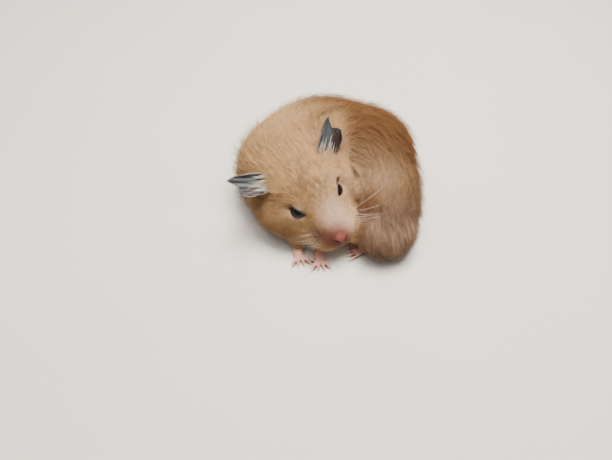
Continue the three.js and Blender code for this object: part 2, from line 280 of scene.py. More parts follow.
# All shape fields are in millimetres.  The head's frame has x to the nose, y to its left
# and z up, with its origin midway between the eyeballs.
def middle_of(node):
    low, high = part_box(node)
    return np.array((low + high) / 2) / MM


HEAD_TURN = Euler((math.radians(3), math.radians(8.5), math.radians(-56)))
head_axes = np.array(HEAD_TURN.to_matrix())          # columns: to the nose, left, up
head_at = (middle_of("eye_left") + middle_of("eye_right")) / 2
hide = read(skin.data.vertices, "co") / MM
PAWS = {                 # heel on the floor, heading in degrees from +X, length, toe angles, toe length
    "fore_right": ((-14.87, -25.28), -78, 9.5, (-26, -9, 9, 26), 4),
    "fore_left": ((-5.87, -27.28), -82, 9.5, (-26, -9, 9, 26), 4),
    "hind_left": ((22.63, -25.28), 187, 16, (-24, -11, 0, 11, 24), 5),
    "hind_right": ((34.63, -16.78), 88, 16, (-24, -11, 0, 11, 24), 5),
}


def paw_gap(points, heel, heading, length):
    """How far each point is from the line along a paw, from heel to toes, near the floor."""
    start = np.array([*heel, 1.5])
    way = np.array([math.cos(math.radians(heading)), math.sin(math.radians(heading)), -0.05])
    along = np.clip((points - start) @ way, 0, length)
    return np.linalg.norm(points - start - along[:, None] * way, axis=1)


by_paw = np.array([ease((4 - paw_gap(hide, *paw[:3])) / 1.2) for paw in PAWS.values()])
on_paw = by_paw.max(axis=0)
near_paw = np.max([ease((8.5 - paw_gap(hide, *paw[:3])) / 4.5) for paw in PAWS.values()], axis=0)
on_tail = ease((1.8 - distance_to("tail", hide)) / 1.2)
thin = np.maximum(on_paw, on_tail)

smoothed = spread(hide, 10)
keep_thin = thin[:, None] * 0.85
hide = smoothed * (1 - keep_thin) + hide * keep_thin
move_skin(hide)

face = (hide - head_at) @ head_axes
head_gap = distance_to("head", hide)
SHARP = np.interp(face[:, 0], (-14, -2), (6, 1.6))   # the cheek parts sharply from flank and thigh
on_head = ease(1 - (head_gap - 0.6) / SHARP)
eye_middles = [middle_of(node) for node in ("eye_left", "eye_right")]
on_ball = np.max([ease((4.9 - np.linalg.norm(hide - at, axis=1)) / 0.6) for at in eye_middles], axis=0)
on_head = np.maximum(on_head, on_ball)

# The coat's depth: long on the body, short on the face, almost nothing on nose and feet.
BODY_DEPTH = 4.4
ALONG_HEAD = (-30, -18, -8, 0, 6, 11, 15, 19)
head_depth = np.interp(face[:, 0], ALONG_HEAD, (4.4, 3.6, 2.3, 1.5, 0.9, 0.5, 0.25, 0.08))
under_jaw = ease((-7 - face[:, 2]) / 6) * ease((6 - face[:, 0]) / 8)
head_depth += 1.2 * under_jaw
thigh_gap = distance_to("hindleg_left", hide)
on_thigh = ease(1 - (thigh_gap - 0.6) / 4)
depth = BODY_DEPTH + (head_depth - BODY_DEPTH) * on_head
depth -= 1.4 * on_thigh * (1 - on_head)
EAR_ROOTS = ((-14, 13.8, 8.5), (-15.5, -17, 5.5))       # in the head's frame
by_ear = np.max([near(face, root, (10, 10, 10)) for root in EAR_ROOTS], axis=0)
by_eye = np.max([near(hide, at, (9, 9, 9)) for at in eye_middles], axis=0)
depth *= (1 - 0.6 * by_ear) * (1 - 0.85 * np.clip(1.6 * by_eye, 0, 1))
depth = spread(depth * (1 - thin), 8)
on_leg = ease((2 - np.minimum(distance_to("foreleg_left", hide), distance_to("foreleg_right", hide))) / 1.5)
depth = depth * (1 - on_leg) + 1.3 * on_leg
depth = np.maximum(depth * (1 - thin), 0.15)
# Flank and thigh fall away in front of the cheek, so that muzzle and cheek stand clear of them.
beside_muzzle = (1 - on_head) * ease(1 - (head_gap - 0.6) / 8) * near(hide, (12, -20, 16), (15, 16, 15))
beside_muzzle = spread(beside_muzzle, 4)
CREASE_DEPTH = 4.0
trim = CREASE_DEPTH * beside_muzzle
trim += 1.3 * near(face, (14, -10.5, -10), (9, 7, 7)) * on_head      # a lean right jowl
trim -= 1.0 * near(face, (15, 7.5, -3), (7, 6, 6)) * on_head         # a full left whisker pad
outward = unit(spread(read(skin.data.vertices, "normal"), 3))
hide -= outward * (depth + trim)[:, None]
thigh_edge = near(hide, (24, -13, 21), (20, 20, 17)) * (1 - on_head)   # the coat bridges the fold
hide += (spread(hide, 110) - hide) * np.clip(1.8 * thigh_edge, 0, 1)[:, None]
cheek_fold = near(hide, (8.5, -4, 25), (9, 9, 9))
hide += (spread(hide, 60) - hide) * np.clip(1.5 * cheek_fold, 0, 1)[:, None]
hide = spread(hide, 2) * (1 - keep_thin) + hide * keep_thin
TAIL_LIE = np.array([0.95, -0.2, -0.3])
tail_at = np.array([v.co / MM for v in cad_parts["tail"].data.vertices])
tail_way = unit(TAIL_LIE)
past = tail_at @ tail_way
tail_base = tail_at[past < np.percentile(past, 25)].mean(axis=0)     # the stump draws in and tapers
run = np.clip((hide - tail_base) @ tail_way, 0, None)
from_axis = (hide - tail_base) - ((hide - tail_base) @ tail_way)[:, None] * tail_way
drawn_in = tail_way * (0.45 * run)[:, None] + from_axis * (0.45 * ease(run / np.ptp(past)))[:, None]
hide -= drawn_in * on_tail[:, None]
for (heel, heading, length, _, _), here in zip(PAWS.values(), by_paw):
    angle = math.radians(heading)         # the hide ends in a stub inside each modelled paw
    stub = np.array([heel[0] + 1.5 * math.cos(angle), heel[1] + 1.5 * math.sin(angle), 1.5])
    hide += (stub - hide) * 0.85 * here[:, None]
hide[:, 2] = np.maximum(hide[:, 2], 0.02)
move_skin(hide)
face = (hide - head_at) @ head_axes

# ---------------------------------------------------------------- eyes and lids
# Black wet beads, 7 mm across, that bulge from shallow sockets.  Two lids of bare dark skin
# ride on each ball and leave an almond open, its front corner turned up towards the brow.
EYE_RADIUS = 3.5
EYE_AXIS = {1: (0.36, 0.64, 0.68), -1: (0.32, -0.78, 0.56)}    # where each eye looks, in the head's frame
ALMOND = (3.3, 1.55)                # half-length and half-height of the opening
ALMOND_TILT = math.radians(18)


def almond(local):
    """0 at the middle of the opening between the lids and 1 on its rim, in the eye's frame."""
    return np.sqrt((local[:, 0] / ALMOND[0]) ** 2 + (np.abs(local[:, 1]) / ALMOND[1]) ** (5 / 3))


def eye_frame(sign):
    """The eye's centre and its axes as columns: along the almond, across it, and outwards."""
    out = unit(np.array(EYE_AXIS[sign]))
    forward = unit(np.array([1.0, 0, 0]) - out[0] * out)
    up = unit(np.array([0, -out[2] * sign, abs(out[1])]))
    along = math.cos(ALMOND_TILT) * forward + math.sin(ALMOND_TILT) * up
    across = unit(up - along * (up @ along))
    centre = middle_of("eye_left" if sign > 0 else "eye_right")
    return centre, head_axes @ np.stack([along, across, out], axis=1)


DOME, DOME_EDGE = EYE_RADIUS + 0.08, 3.25     # the hide's radius over the ball, and the dome's own
SOCKET_SLOPE = 1.25      # how steeply the hide falls from the dome to the face
SLIT_DEPTH = 0.87        # how far it dips inside the almond, under the open eye
EYE_REACH = 9.5          # from the eye's axis, the end of what is re-shaped
for sign in (1, -1):     # the hide closes over the ball as a low dome, open at the almond
    centre, axes = eye_frame(sign)
    local = (hide - centre) @ axes
    bed = almond(local)
    off_axis = np.hypot(local[:, 0], local[:, 1])
    behind = ease((-local[:, 0] - 1) / 2)         # flatter there, so that no hollow is left behind the eye
    dome = np.sqrt(DOME ** 2 - np.minimum(off_axis, DOME_EDGE) ** 2)
    dome -= (SOCKET_SLOPE - 1.1 * behind) * np.maximum(off_axis - DOME_EDGE, 0)
    dome -= SOCKET_SLOPE * behind * np.maximum(off_axis - 7.5, 0)
    dome -= SLIT_DEPTH * (1 - ease((bed - 0.95) / 0.28))
    forced = ease((1.6 - bed) / 0.4)
    level = dome * forced + np.maximum(local[:, 2], dome) * (1 - forced)
    here = (np.abs(local[:, 2]) < 8) & (off_axis < EYE_REACH) & (on_head > 0.3)
    here &= outward @ axes[:, 2] > -0.5
    move = np.where(here, level - local[:, 2], 0)
    move += (spread(move, 25) - move) * ease((bed - 1.25) / 0.8)     # the face round about follows
    move = np.where(here & (bed > 1.25), np.maximum(move, dome - local[:, 2]), move)
    hide += move[:, None] * axes[:, 2]
    foot = ease((bed - 1.4) / 0.4) * ease(1 - np.linalg.norm(local, axis=1) / 11) * (on_head > 0.3)
    hide += (spread(hide, 12) - hide) * np.clip(2 * foot, 0, 1)[:, None]

# ---------------------------------------------------------------- nose and mouth
# A small moist pad between two slit nostrils, a groove down from it to the lip, and the
# mouth's line running back under each whisker pad.
NOSE = np.array([18.6, -0.8, -1.6])
NOSTRIL = (0.35, 1.75, -1.1)         # from the nose's middle
MOUTH_HEIGHT = -8.2
face = (hide - head_at) @ head_axes
from_nose = face - NOSE
dent = -0.12 * near(face, NOSE, (3.6, 4.2, 3.2))
for sign in (1, -1):
    nostril = from_nose - np.array(NOSTRIL) * (1, sign, 1)
    slit = near(nostril, (0, 0, 0), (2.4, 1.0, 0.75))
    slit = np.maximum(slit, 0.7 * near(nostril, (-0.3, sign * 0.9, 0.45), (2.4, 0.9, 0.5)))
    dent += 1.2 * slit
groove = ease(1 - np.abs(from_nose[:, 1]) / 0.6) * ease((face[:, 0] - 14) / 2)
dent += 0.5 * groove * ease((-1.6 - from_nose[:, 2]) / 0.8) * ease((face[:, 2] - MOUTH_HEIGHT) / 0.8)
mouth = ease(1 - np.abs(face[:, 2] - MOUTH_HEIGHT + 0.1 * np.abs(face[:, 1])) / 0.8)
dent += 0.7 * mouth * ease((face[:, 0] - 8) / 3) * on_head
move_skin(hide)
outward = unit(read(skin.data.vertices, "normal"))
hide = hide - outward * dent[:, None]
hide[:, 2] = np.maximum(hide[:, 2], 0.02)
move_skin(hide)
face = (hide - head_at) @ head_axes

# ---------------------------------------------------------------- paws and claws
# Slender bare hands and feet: a padded palm and jointed toes, cast at a finer grain than
# the hide and set into the furred legs, with a small curved claw on every toe.
PAW_GRAIN = 0.28 * MM
PALM_HEIGHT = 3.2
WRIST = 1.7              # radius


def add_bead(at, radius):
    """One ball of a paw's flesh, added to the mesh being edited."""
    bpy.ops.mesh.primitive_uv_sphere_add(segments=12, ring_count=8, radius=radius * MM,
                                         location=Vector(at) * MM)


def toe_line(angle, place, length, toe_length, knuckles):
    """Root and tip of a toe in the paw's own frame, as the solids have them."""
    side = (place - 0.5) * knuckles
    reach = length - toe_length * (1 - math.cos(math.radians(angle))) - 0.95
    return (np.array([length - toe_length, side, 1.25]),
            np.array([reach, side + toe_length * math.sin(math.radians(angle)), 0.75]))


def model_paw(name, heel, heading, length, toes, toe_length):
    """A paw's palm, toes and wrist as one mesh, laid on the floor; also returns where its claws go."""
    bpy.ops.object.select_all(action="DESELECT")
    turn = Matrix.Rotation(math.radians(heading), 4, "Z")
    middle = (length - toe_length) / 2
    bpy.ops.mesh.primitive_uv_sphere_add(segments=24, ring_count=16, radius=MM)
    paw = bpy.context.object
    paw.name = "paw_" + name
    paw.scale = (middle + 0.7, 2.3, PALM_HEIGHT / 2)
    paw.location = (middle * MM, 0, (PALM_HEIGHT / 2 - 0.1) * MM)
    bpy.ops.object.transform_apply()
    bpy.ops.object.mode_set(mode="EDIT")
    claws = []
    for i, angle in enumerate(toes):
        start, end = toe_line(angle, i / (len(toes) - 1), length, toe_length, 3.7)
        BEADS = 9
        for k in range(BEADS):
            t = k / (BEADS - 1)
            arch = 0.45 * math.sin(math.pi * t)
            knuckle = 0.1 * math.exp(-((t - 0.45) / 0.12) ** 2)
            pad = 0.12 * math.exp(-((t - 0.92) / 0.1) ** 2)
            add_bead(start + (end - start) * t + (0, 0, arch), 0.82 - 0.24 * t + knuckle + pad)
        claws.append((end, unit(end - start)))
    for k in range(5):   # the wrist or heel rises back into the leg's fur
        add_bead((1.2 - 0.9 * k, 0, 1.7 + 0.9 * k), WRIST + 0.12 * k)
    bpy.ops.object.mode_set(mode="OBJECT")
    recast(paw, PAW_GRAIN)
    sanded = paw.modifiers.new("sanded", "SMOOTH")
    sanded.iterations = 3
    bpy.ops.object.modifier_apply(modifier="sanded")
    paw.matrix_world = Matrix.Translation(Vector((*heel, 0)) * MM) @ turn
    bpy.ops.object.transform_apply()
    spin = np.array(turn.to_3x3())
    return paw, [(spin @ at + (*heel, 0), spin @ way) for at, way in claws]


paws, claw_places = [], []
for name, paw_sizes in PAWS.items():
    paw, places = model_paw(name, *paw_sizes)
    paws.append(paw)
    claw_places += places


def model_claw(at, way, mesh_points, mesh_faces):
    """A curved horn cone from a toe's tip down to the floor."""
    LENGTH, THICK, SIDES, RINGS = 1.7, 0.3, 8, 5
    side = unit(np.cross(way, (0, 0, 1)))
    first = len(mesh_points)
    for k in range(RINGS):
        t = k / RINGS
        middle = at + way * (0.2 + LENGTH * t) + np.array([0, 0, 0.3 - 0.6 * t * t])
        for c in range(SIDES):
            angle = 2 * math.pi * c / SIDES
            up = np.array([0, 0, 1.0])
            spoke = math.cos(angle) * side + math.sin(angle) * up
            mesh_points.append(middle + THICK * (1 - t) ** 0.7 * spoke)
    mesh_points.append(at + way * (0.2 + LENGTH) + np.array([0, 0, -0.3]))
    mesh_faces.append(tuple(first + c for c in range(SIDES)))
    for k in range(RINGS - 1):
        a = first + k * SIDES
        for c in range(SIDES):
            d = (c + 1) % SIDES
            mesh_faces.append((a + d, a + c, a + SIDES + c, a + SIDES + d))
    last = first + (RINGS - 1) * SIDES
    for c in range(SIDES):
        mesh_faces.append((last + (c + 1) % SIDES, last + c, first + RINGS * SIDES))


claw_points, claw_faces = [], []
for at, way in claw_places:
    model_claw(at, way, claw_points, claw_faces)
claw_mesh = bpy.data.meshes.new("claws")
claw_mesh.from_pydata([tuple(p * MM) for p in claw_points], [], claw_faces)
claws = add_object("claws", claw_mesh)
turn_faces_out(claws)
bpy.ops.object.shade_smooth()
# Horn worn smooth by digging, so that each claw carries a small bright line.
claws.data.materials.append(mottled("pale_horn", "#d9c3ae", "#f0e2d2", 3000, {"Roughness": 0.3}))
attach(claws, "root")

# ---------------------------------------------------------------- ears
# Thin bare leaves of dark skin, cupped and creased lengthwise, with a rear tip, a rounder
# front lobe and a pale rim.  They grow out of the head, and are joined to the hide here.
EARS = {                 # in the head's frame: root, the way it points, the way its hollow faces
    1: (EAR_ROOTS[0], (-0.46, 0.52, 0.74), (0.5, -0.1, 0.85)),
    -1: (EAR_ROOTS[1], (-0.3, -0.92, 0.22), (0.35, 0.15, 0.92)),
}
EAR_OUTLINE = ((0, -5), (-4.2, -2.5), (-5.8, 3), (-5.4, 8.5), (-3.6, 13.8), (-1.4, 11.2),
               (0.2, 9.4), (2.4, 9.9), (4.7, 8.8), (6.0, 5.8), (5.3, 1.6), (2.4, -4.2))
EAR_CURL = 6.5           # radius of the hollow, across the ear
EAR_THICKNESS = 0.5
EAR_FOLD = 2.6           # from one lengthwise crease to the next


def ear_frame(sign):
    """The ear's root, and its axes as columns: rear to front, root to tip, out of the hollow."""
    root, along, opening = (np.array(v, float) for v in EARS[sign])
    along = unit(along)
    out = unit(opening - along * (along @ opening))
    across = np.cross(along, out) * sign
    return head_at + head_axes @ root, head_axes @ np.stack([across, along, out], axis=1)


def cupped(across, along, height):
    """A place on the cupped leaf, at that height over its middle, in the ear's own frame."""
    crease = 0.32 * np.sin(2 * math.pi * (across + 0.12 * along) / EAR_FOLD) * ease((along + 1) / 4)
    reach = EAR_CURL - height - crease
    angle = across / EAR_CURL
    return np.stack([reach * np.sin(angle), along, EAR_CURL - reach * np.cos(angle)], axis=-1)


def ring_of(corners, count):
    """Points round a smooth closed curve through the corners."""
    corners = np.array(corners, float)
    at = np.linspace(0, len(corners), count, endpoint=False)
    step, t = at.astype(int), (at % 1)[:, None]
    a, b, c, d = (corners[(step + k) % len(corners)] for k in (-1, 0, 1, 2))
    return (2 * b + (c - a) * t + (2 * a - 5 * b + 4 * c - d) * t ** 2 + (3 * b - a - 3 * c + d) * t ** 3) / 2


def model_ear(sign):
    """One ear: rings shrink from its outline to its middle over both faces."""
    AROUND, RINGS = 100, 13
    rim = ring_of(EAR_OUTLINE, AROUND)
    middle = rim.mean(axis=0)
    shares = np.sin(np.linspace(0.02, 0.98, 2 * RINGS) * math.pi) ** 0.8
    rises = np.sign(np.linspace(1, -1, 2 * RINGS)) * np.sqrt(1 - shares ** 6) * EAR_THICKNESS / 2
    points = [cupped(*(middle + (rim - middle) * share).T, np.full(AROUND, rise)
                     + 0.5 * ease((share - 0.8) / 0.2)) for share, rise in zip(shares, rises)]
    points = np.concatenate(points)
    root, axes = ear_frame(sign)
    faces = [tuple(range(AROUND))[::-1], tuple(range((2 * RINGS - 1) * AROUND, 2 * RINGS * AROUND))]
    for ring in range(2 * RINGS - 1):
        for i in range(AROUND):
            j = (i + 1) % AROUND
            a, b = ring * AROUND, (ring + 1) * AROUND
            faces.append((a + i, a + j, b + j, b + i))
    mesh = bpy.data.meshes.new("ear")
    mesh.from_pydata([tuple(p) for p in (root + points @ axes.T) * MM], [], faces)
    ear = add_object("ear", mesh)
    edge = mesh.attributes.new("rim", "FLOAT", "POINT")
    edge.data.foreach_set("value", np.repeat(shares, AROUND))
    turn_faces_out(ear)
    return ear


BODY, PAW, EAR_L, EAR_R = 0, 1, 2, 3
fine_parts = [(paw, PAW) for paw in paws] + [(model_ear(1), EAR_L), (model_ear(-1), EAR_R)]
for piece, kind_of_piece in fine_parts:
    mark = piece.data.attributes.new("kind", "INT", "POINT")
    mark.data.foreach_set("value", np.full(len(piece.data.vertices), kind_of_piece, np.int32))
pick(skin, *(piece for piece, _ in fine_parts))
bpy.ops.object.join()
kind = read(skin.data.attributes["kind"].data, "value", 1, np.int32)
ear_rim = read(skin.data.attributes["rim"].data, "value", 1)


def on_whole_skin(values, elsewhere):
    """A property of the furred hide's vertices, with another value on paws and ears."""
    whole = np.full((len(kind), *values.shape[1:]), float(elsewhere))
    whole[kind == BODY] = values
    return whole


links, neighbours = wiring()
hide = read(skin.data.vertices, "co") / MM
hide[:, 2] = np.maximum(hide[:, 2], 0.01)
move_skin(hide)
face = (hide - head_at) @ head_axes
outward = unit(spread(read(skin.data.vertices, "normal"), 2))
on_head, on_thigh, on_leg, on_tail, under_jaw = (
    on_whole_skin(values, 0) for values in (on_head, on_thigh, on_leg, on_tail, under_jaw))
beside_muzzle, depth, thigh_gap, by_ear = (
    on_whole_skin(beside_muzzle, 0), on_whole_skin(depth, 0.1), on_whole_skin(thigh_gap, 99),
    on_whole_skin(by_ear, 0))
stub, near_paw = on_whole_skin(on_paw, 0), on_whole_skin(near_paw, 0)
on_paw = np.maximum(stub, kind == PAW)
on_ear = (kind >= EAR_L).astype(float)
thin = np.maximum.reduce([on_ear, on_paw, on_tail])

# ---------------------------------------------------------------- markings, painted light and shade of hide and coat
# Apricot on the back, paler and creamier over nape and crown, pinkish white on the muzzle
# and round the eyes, ivory below; bare pink nose and paws, dark grey ears.  The back's deep
# apricot is partly painted shade and the pale flank partly painted light; painted shade also
# darkens the jaw, the right whisker pad, the lower thigh, the crease beside the muzzle, the
# dip behind each ear and the ears' hollows, and painted light brightens the hide under the coat.
# The tones for the crease, the right whisker pad, the dip behind each ear, the jaw, the lower thigh and the
# ears' hollows are painted shade; the flank's pale tone is partly painted light.
APRICOT = linear("#855d38")
CREAM = linear("#d2ae7f")
HONEY = linear("#dab180")
BLUSH = linear("#dec0a6")
IVORY = linear("#efe0c8")
THIN_HAIRED = linear("#aa8a76")
CREASE_PAINTED_SHADE = linear("#b07e5a")
PAD_PAINTED_SHADE = linear("#7c5e4e")
PAINTED_SHADE_BEHIND_EAR = linear("#b48a5c")
NOSE_PINK = linear("#874c45")
NOSE_RED = linear("#703736")
PAW_PINK = linear("#d8a294")
LID_DARK = linear("#5a443c")
EAR_GREY = linear("#545b60")
EAR_MAROON_AND_SHADE = linear("#2c1c1e")
EAR_RIM = linear("#a8a19b")
EAR_DOWN = linear("#767068")
PAINTED_SHADE_AND_DARK_HAIR = linear("#9d7650")
THIGH_PAINTED_SHADE = linear("#543320")
BESIDE_NOSE = linear("#8e5c52")
FLANK = linear("#dfbb94")
NOSTRIL_DARK = linear("#56282a")


def painted(colours, colour, amount):
    """The colours with another laid over them, 0 to 1, at each point."""
    return colours + (colour - colours) * np.clip(amount, 0, 1)[:, None]


def ripples(points, size, seed):
    """A smooth random field of about -1 to 1, whose waves are `size` long."""
    draw = np.random.default_rng(seed)
    total = np.zeros(len(points))
    WAVES = 14
    for _ in range(WAVES):
        wave = unit(draw.normal(size=3)) * 2 * math.pi / (size * draw.uniform(0.7, 1.5))
        total += np.sin(points @ wave + draw.uniform(0, 2 * math.pi))
    return total * math.sqrt(2 / WAVES) * 0.6


def segment_gap(points, start, end):
    """How far each point is from a straight line between two places."""
    start, end = np.array(start, float), np.array(end, float)
    t = np.clip((points - start) @ (end - start) / ((end - start) @ (end - start)), 0, 1)
    return np.linalg.norm(points - start - t[:, None] * (end - start), axis=1)


low = ease((9 - hide[:, 2]) / 7) * ease((0.35 - outward[:, 2]) / 0.7)
eye_gap = np.full(len(hide), 99.0)       # millimetres from the rim of the nearer eye
eye_corner = np.zeros(len(hide))
for sign in (1, -1):
    centre, axes = eye_frame(sign)
    local = (hide - centre) @ axes
    bed = almond(local)
    from_middle = np.hypot(local[:, 0], local[:, 1])
    here = (np.abs(local[:, 2]) < 5) & (from_middle < 7) & (on_head > 0.3) & (outward @ axes[:, 2] > 0)
    corner = np.c_[local[:, 0] - 4.0, local[:, 1], local[:, 1] * 0]
    eye_corner = np.maximum(eye_corner, near(corner, (0, 0, 0), (1.8, 0.9, 1)) * here)
    eye_gap = np.minimum(eye_gap, np.where(here, from_middle * (1 - 1 / np.maximum(bed, 1e-6)), 99))
forehead = on_head * near(face, (-4, 0, 6), (14, 13, 12))
face_sides = np.c_[face[:, 0], np.abs(face[:, 1]), face[:, 2]]      # both sides of the head as one
WHISKER_ROWS = 1.5       # between the rows in which the whiskers stand
rows = 0.5 + 0.5 * np.cos(2 * math.pi * (face[:, 2] + 0.25 * face[:, 0]) / WHISKER_ROWS)
right_pad_painted_shade = on_head * near(face, (13, -7, -2.5), (7.5, 5.5, 5))
behind_knee = ease(1 - (thigh_gap - 0.6) / 12) * (1 - on_head)
crease = ease(1 - segment_gap(hide, (8, -22, 16), (19, -10, 24)) / 8)
nose_fringe = near(face, NOSE - (0, 0.8, 0), (9.5, 8.8, 7.4))
# Deep apricot all over to begin with; the back keeps it, partly its own deeper colour and partly painted
# shade.
coat_colour = np.tile(APRICOT, (len(hide), 1))
paints = [
    (CREAM, near(hide, (-26, 6, 26), (32, 36, 32)) * 1.5),               # nape
    # paler on the flank: partly its own paler hair, partly painted light
    (FLANK, near(hide, (12, -6, 26), (26, 21, 20)) * 1.3),
    (FLANK, 0.5 * ease((28 - hide[:, 2]) / 14)),                        # the lower sides pale
    (HONEY, on_head * 0.7),
    # painted shade under the jaw, on both sides
    (PAINTED_SHADE_AND_DARK_HAIR, on_head * 0.7 * near(face_sides, (2, 15, -9), (15, 9, 9))),
    (CREAM, forehead * 0.4),
    (PAINTED_SHADE_AND_DARK_HAIR, 0.55 * on_head * near(face, (-1, -4, 8), (10, 8, 9))),   # darker hairs between ears and eyes
    (BLUSH, on_head * near(face, (11.5, 2, 0.5), (15.5, 9.5, 9)) * 1.5),
    (BLUSH, on_head * ease(1 - eye_gap / 2.4) * 0.7),
    (LID_DARK, eye_corner * 1.2),
    # painted shade on the right whisker pad, darkest in the creases between the whisker rows
    (PAD_PAINTED_SHADE, right_pad_painted_shade * (0.75 + 0.6 * rows)),
    (THIN_HAIRED, behind_knee * 0.75),
    # painted shade on the lower thigh, darker towards the floor, where the muzzle shades it
    (THIGH_PAINTED_SHADE, on_thigh * (1 - on_head) * 0.85 * ease((16 - hide[:, 2]) / 10)),
    # painted shade in the crease between cheek and flank and on the fur beside the muzzle
    (CREASE_PAINTED_SHADE, (1 - on_head) * (crease * 0.85 + 0.8 * beside_muzzle)),
]
# Painted shade in the dip behind each ear, where the ear shades the coat.
for sign in (1, -1):
    root, axes = ear_frame(sign)
    behind = root - axes[:, 2] * 3 + axes[:, 1] * 1
    paints.append((PAINTED_SHADE_BEHIND_EAR, near(hide, behind, (6, 6, 6)) * 0.35))
paints += [
    (IVORY, low),
    (NOSE_PINK, nose_fringe * 1.15),
    (BESIDE_NOSE, near(face, (15, -5, -1.8), (5.5, 4.5, 4)) * 0.9),
]
for colour, amount in paints:
    coat_colour = painted(coat_colour, colour, amount)
coat_colour = spread(coat_colour, 3)
coat_colour[on_ear > 0] = EAR_DOWN
coat_colour[kind == PAW] = IVORY

# The hide is painted a quarter brighter than the hair above it, as painted light that lifts the shade in the
# gaps between tufts, with a little pink of bare skin.
hide_colour = painted(np.minimum(coat_colour * 1.25, 0.9), PAW_PINK, np.full(len(hide), 0.12))
hide_colour = painted(hide_colour, NOSE_PINK, nose_fringe * 1.7)
hide_colour = painted(hide_colour, NOSE_RED, near(face, NOSE - (0, 0.8, 1.2), (3.4, 3.4, 2.6)) * 0.9)
for sign in (1, -1):
    nostril = (face - NOSE) - np.array(NOSTRIL) * (1, sign, 1)
    hide_colour = painted(hide_colour, NOSTRIL_DARK, near(nostril, (0, 0, 0), (2.4, 1.3, 1.0)) * 2)
hide_colour = painted(hide_colour, LID_DARK, ease((0.9 - eye_gap) / 0.5))
hide_colour = painted(hide_colour, PAW_PINK, np.maximum(on_paw, on_tail))
for sign, which in ((1, EAR_L), (-1, EAR_R)):
    root, axes = ear_frame(sign)
    local = (hide - root) @ axes
    # Maroon over the front lobe and round the root: the ear's own dark skin, deepened as painted shade in the
    # hollow.
    maroon_and_shade = ease((local[:, 0] + 0.5) / 3) * ease((11 - local[:, 1]) / 4) + ease((3 - local[:, 1]) / 3)
    leaf = painted(painted(np.tile(EAR_GREY, (len(hide), 1)), EAR_MAROON_AND_SHADE, maroon_and_shade), EAR_RIM,
                   ease((ear_rim - 0.93) / 0.07) * 0.7)
    hide_colour = np.where((kind == which)[:, None], leaf, hide_colour)

skin_attribute = skin.data.color_attributes.new("marking_and_painted_light", "FLOAT_COLOR", "POINT")
skin_attribute.data.foreach_set("color", np.c_[hide_colour, np.ones(len(hide))].ravel())


def living_skin():
    """Bare hairless skin: soft, a little moist, finely wrinkled, with light passing into it."""
    material, tree, output = new_material("bare_skin")
    place = add_node(tree, "ShaderNodeTexCoord")
    marking_and_painted_light = add_node(tree, "ShaderNodeVertexColor", layer_name="marking_and_painted_light")
    WRINKLES_PER_METRE = 1 / (0.6 * MM)
    wrinkles = add_node(tree, "ShaderNodeTexNoise", {
        "Vector": place.outputs["Object"], "Scale": WRINKLES_PER_METRE, "Detail": 3})
    blotches = add_node(tree, "ShaderNodeTexNoise", {
        "Vector": place.outputs["Object"], "Scale": 1 / (4 * MM), "Detail": 2})
    flushed = add_node(tree, "ShaderNodeMixRGB", {
        "Fac": blotches.outputs["Fac"], "Color1": marking_and_painted_light.outputs["Color"],
        "Color2": (*linear("#b08078"), 1)})
    flushed.blend_type = "MULTIPLY"
    soften = add_node(tree, "ShaderNodeMixRGB", {
        "Fac": 0.35, "Color1": marking_and_painted_light.outputs["Color"], "Color2": flushed.outputs["Color"]})
    bump = add_node(tree, "ShaderNodeBump", {
        "Height": wrinkles.outputs["Fac"], "Strength": 0.35, "Distance": 0.15 * MM})
    shader = add_node(tree, "ShaderNodeBsdfPrincipled", {
        "Base Color": soften.outputs["Color"], "Roughness": 0.48, "IOR": 1.4,
        "Subsurface Weight": 0.12, "Subsurface Scale": 0.8 * MM, "Normal": bump.outputs["Normal"]})
    tree.links.new(shader.outputs["BSDF"], output.inputs["Surface"])
    return material


skin.data.materials.append(living_skin())
pick(skin)
bpy.ops.object.shade_smooth()
bpy.ops.object.mode_set(mode="EDIT")
bpy.ops.mesh.select_all(action="SELECT")
bpy.ops.uv.smart_project(angle_limit=math.radians(66), island_margin=0.004)
bpy.ops.object.mode_set(mode="OBJECT")
skin.data.uv_layers[0].name = "OFBake"
skin.data.calc_loop_triangles()
triangles = read(skin.data.loop_triangles, "vertices", 3, np.int32)
triangle_loops = read(skin.data.loop_triangles, "loops", 3, np.int32)
unwrap = read(skin.data.uv_layers["OFBake"].data, "uv", 2)
of_body = kind[triangles[:, 0]] == BODY
hide_surface = BVHTree.FromPolygons([Vector(p) for p in hide],
                                    [tuple(t) for t in triangles[of_body].tolist()])

# A tear film over a nearly black iris: each lamp shows as one small sharp spot.
eyeball_black = mottled("wet_black_eyeball", "#0b0909", "#1a1416", 900,
                        {"Roughness": 0.16, "IOR": 1.34, "Specular IOR Level": 0.35})
for sign, node in ((1, "eye_left"), (-1, "eye_right")):
    centre, axes = eye_frame(sign)
    bpy.ops.object.select_all(action="DESELECT")
    bpy.ops.mesh.primitive_uv_sphere_add(segments=64, ring_count=32, radius=EYE_RADIUS * MM,
                                         location=centre * MM)
    ball = bpy.context.object
    ball.name = node + "_ball"
    bpy.ops.object.transform_apply()
    bpy.ops.object.shade_smooth()
    ball.data.materials.append(eyeball_black)
    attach(ball, "root")
    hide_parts(node)


